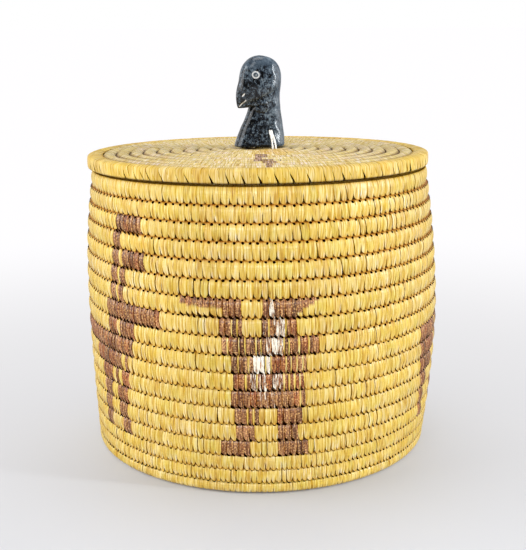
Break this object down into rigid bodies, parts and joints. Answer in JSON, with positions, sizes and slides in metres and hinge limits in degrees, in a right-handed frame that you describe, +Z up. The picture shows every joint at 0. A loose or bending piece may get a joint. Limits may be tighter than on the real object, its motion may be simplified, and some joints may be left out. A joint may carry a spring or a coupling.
{
  "type": "lidded coiled grass basket",
  "caption": "Round coiled and sewn grass basket with a lift-off coiled lid and a carved stone bird-head finial tied on with thread.",
  "frame": {"origin": "centre of the flat underside of the basket", "axes": "+Z up out of the lid, the face of the basket seen in the picture looks along -Y, +X to its right"},
  "size_m": [0.2055, 0.2054, 0.2234],
  "materials": {
    "grass_wall": "satin, sewn grass with dyed figures",
    "grass_base": "satin, sewn grass",
    "grass_lid": "satin, sewn grass",
    "grass_flange": "satin, sewn grass",
    "dark_stone": "polished by hand",
    "white_thread": "matte twisted thread"
  },
  "bodies": {
    "basket": {"base_start_knot": "grass_base", "base_coil": "grass_base", "wall_course_01": "grass_wall", "wall_course_02": "grass_wall", "wall_course_03": "grass_wall", "wall_course_04": "grass_wall", "wall_course_05": "grass_wall", "wall_course_06": "grass_wall", "wall_course_07": "grass_wall", "wall_course_08": "grass_wall", "wall_course_09": "grass_wall", "wall_course_10": "grass_wall", "wall_course_11": "grass_wall", "wall_course_12": "grass_wall", "wall_course_13": "grass_wall", "wall_course_14": "grass_wall", "wall_course_15": "grass_wall", "wall_course_16": "grass_wall", "wall_course_17": "grass_wall", "wall_course_18": "grass_wall"},
    "lid": {"lid_start_knot": "grass_lid", "lid_coil": "grass_lid", "lid_edge_course": "grass_lid", "lid_flange_course_1": "grass_flange", "lid_flange_course_2": "grass_flange", "finial_bird_head": "dark_stone", "finial_tie_thread": "white_thread", "finial_tie_knot": "white_thread"}
  },
  "joints": [
    {"name": "lid_lift", "type": "slide", "parent": "basket", "child": "lid", "axis": [0, 0, 1], "range_m": [0, 0.15]}
  ]
}
